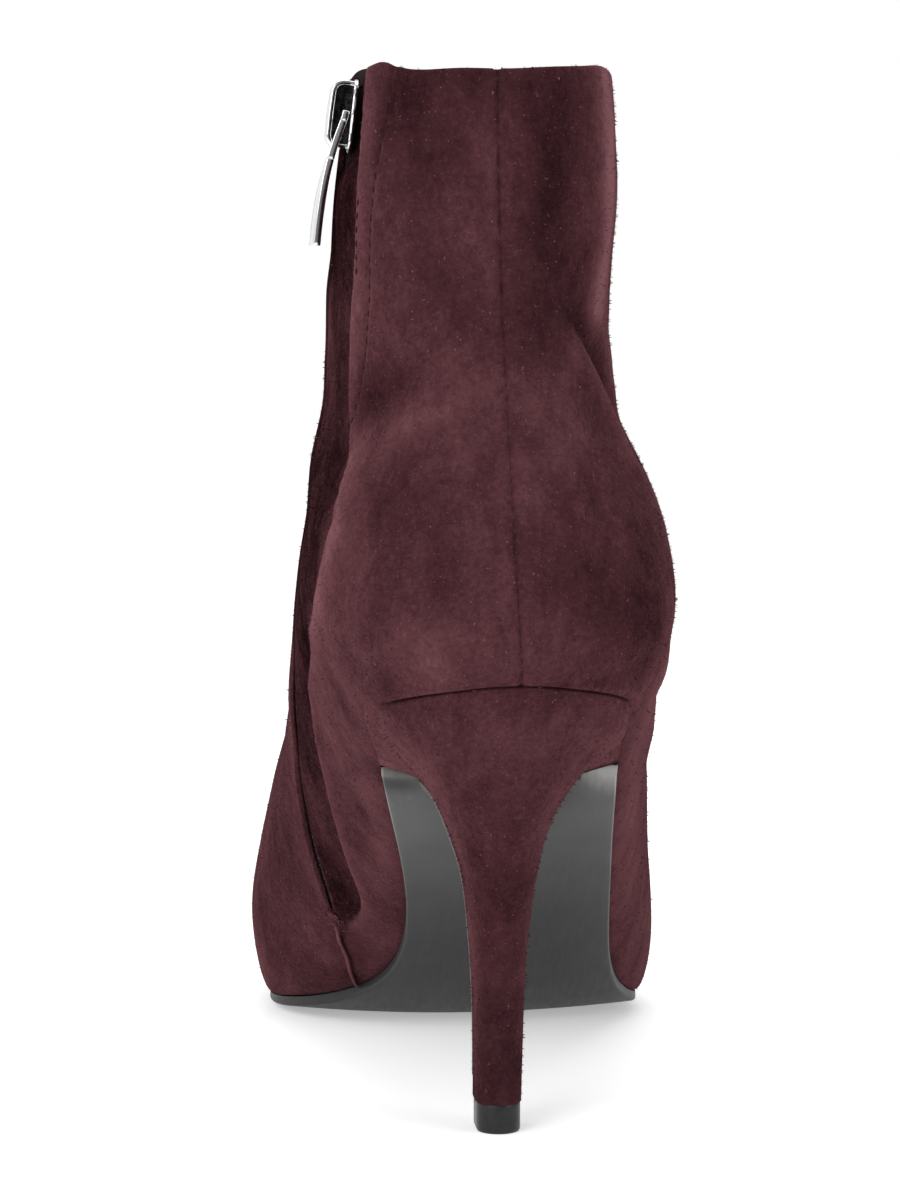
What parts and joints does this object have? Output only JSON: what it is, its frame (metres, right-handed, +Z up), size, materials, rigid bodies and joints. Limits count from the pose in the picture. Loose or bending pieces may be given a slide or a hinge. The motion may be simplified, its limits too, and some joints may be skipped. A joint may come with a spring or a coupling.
{
  "type": "pointed-toe ankle boot",
  "caption": "Ankle boot for the right foot with a pointed toe, a slim high heel, a zip on the inner side with a swinging pull tab, and a thin leather sole; stands empty",
  "frame": {"origin": "on the floor, at the centre of the heel's top piece", "axes": "+Y runs to the toe, +X to the outer side of the foot, +Z up"},
  "size_m": [0.0881, 0.2367, 0.1965],
  "materials": {
    "suede": "soft brushed suede, dark plum brown",
    "lining": "smooth dark lining leather",
    "sole_leather": "smooth dark grey sole leather, worn pale at the edge",
    "tip_rubber": "hard dark grey heel tip",
    "zip_cloth": "woven zip tape, nearly black",
    "chrome": "polished chrome"
  },
  "bodies": {
    "boot": {"upper": "suede", "insole": "lining", "outsole": "sole_leather", "heel": "suede", "top_piece": "tip_rubber", "zip_tape": "zip_cloth", "zip_slider": "chrome"},
    "zip_pull": {"zip_pull": "chrome"}
  },
  "joints": [
    {"name": "pull_swing", "type": "hinge", "parent": "boot", "child": "zip_pull", "pos_m": [-0.02657, 0.0246, 0.18677], "axis": [0, 1, 0], "range_deg": [-2, 150]}
  ]
}
